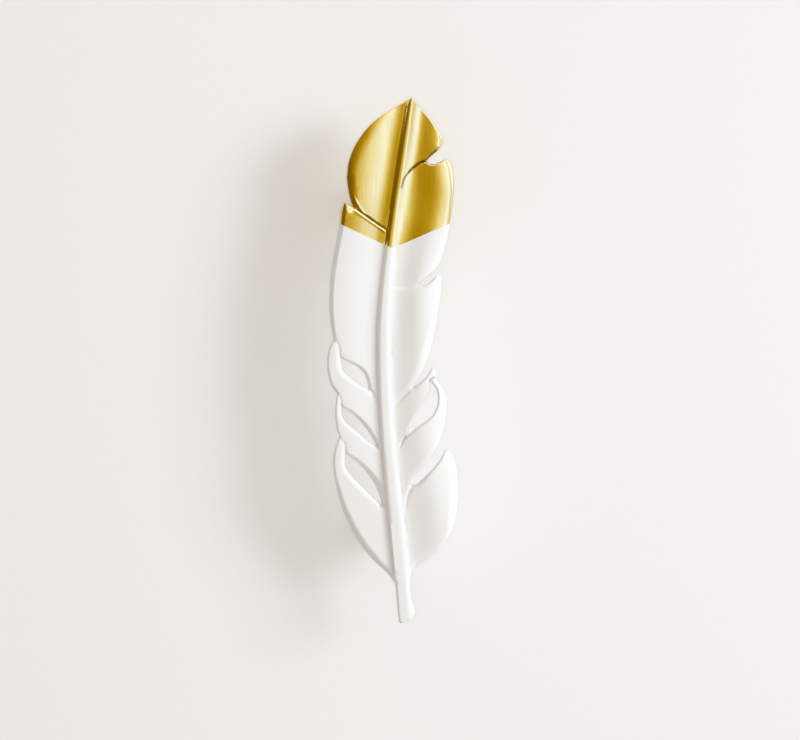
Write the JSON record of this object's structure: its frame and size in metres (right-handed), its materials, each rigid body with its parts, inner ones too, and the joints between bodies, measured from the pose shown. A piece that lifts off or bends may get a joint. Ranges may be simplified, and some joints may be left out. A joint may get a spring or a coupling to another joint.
{
  "type": "cabinet handle",
  "caption": "Feather-shaped pull handle cast in one piece: a curved feather with open barbs carried on round posts, white with a gold tip.",
  "frame": {"origin": "middle of the box at the level of the post feet; the feet stand on Z = 0", "axes": "+Y along the feather towards its tip, +Z out of the door towards the user, +X to the right seen from the front"},
  "size_m": [0.0372, 0.15, 0.0269],
  "materials": {
    "white_enamel": "semi-gloss white enamel over a zinc casting, with the tip above a V-shaped line in satin brushed gold"
  },
  "bodies": {
    "root": {"feather_handle": "white_enamel"}
  },
  "joints": []
}
